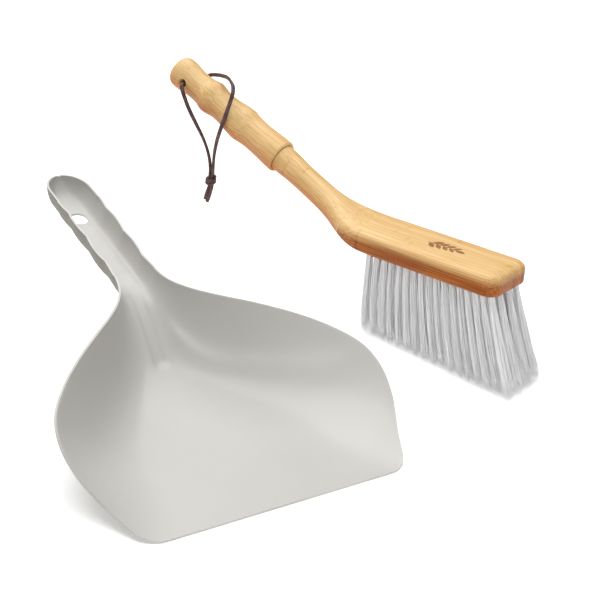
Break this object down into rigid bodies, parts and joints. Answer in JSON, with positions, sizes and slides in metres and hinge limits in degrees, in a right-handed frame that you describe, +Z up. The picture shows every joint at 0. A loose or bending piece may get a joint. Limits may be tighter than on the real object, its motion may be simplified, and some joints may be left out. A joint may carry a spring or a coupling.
{
  "type": "dustpan and brush",
  "caption": "Moulded scoop dustpan with a trough handle, and a bamboo hand brush with grey bristle tufts and a leather hanging loop.",
  "frame": {"origin": "centre of the whole set's bounding box, on the surface that it stands on", "axes": "+Y from the dustpan's lip towards its handle, +X from the dustpan towards the brush, +Z up"},
  "size_m": [0.4019, 0.4124, 0.1568],
  "materials": {
    "pan_moulding": "warm grey moulding, satin gloss",
    "bamboo": "laminated bamboo under clear lacquer",
    "dowel": "plain beech, glued in",
    "bristle": "light grey synthetic filament",
    "leather": "dark brown leather lace"
  },
  "bodies": {
    "dustpan": {"pan_shell": "pan_moulding"},
    "brush": {"grip": "bamboo", "neck": "bamboo", "head_block": "bamboo", "grip_dowel": "dowel", "head_dowel": "dowel", "tufts_near_01": "bristle", "tufts_near_02": "bristle", "tufts_near_03": "bristle", "tufts_near_04": "bristle", "tufts_near_05": "bristle", "tufts_near_06": "bristle", "tufts_near_07": "bristle", "tufts_near_08": "bristle", "tufts_near_09": "bristle", "tufts_near_10": "bristle", "tufts_near_11": "bristle", "tufts_near_12": "bristle", "tufts_near_13": "bristle", "tufts_near_14": "bristle", "tufts_near_15": "bristle", "tufts_near_16": "bristle", "tufts_near_17": "bristle", "tufts_far_01": "bristle", "tufts_far_02": "bristle", "tufts_far_03": "bristle", "tufts_far_04": "bristle", "tufts_far_05": "bristle", "tufts_far_06": "bristle", "tufts_far_07": "bristle", "tufts_far_08": "bristle", "tufts_far_09": "bristle", "tufts_far_10": "bristle", "tufts_far_11": "bristle", "tufts_far_12": "bristle", "tufts_far_13": "bristle", "tufts_far_14": "bristle", "tufts_far_15": "bristle", "tufts_far_16": "bristle", "tufts_far_17": "bristle"},
    "hanging_loop": {"thong_near_leg": "leather", "thong_far_leg": "leather", "thong_knot": "leather", "thong_tail_near": "leather", "thong_tail_far": "leather"}
  },
  "joints": [
    {"name": "brush_lift", "type": "slide", "parent": "dustpan", "child": "brush", "axis": [0, 0, 1], "range_m": [0, 0.25]},
    {"name": "loop_swing", "type": "hinge", "parent": "brush", "child": "hanging_loop", "pos_m": [0.06954, 0.18668, 0.13972], "axis": [-0.9558, -0.294, 0], "range_deg": [0, 10]}
  ]
}
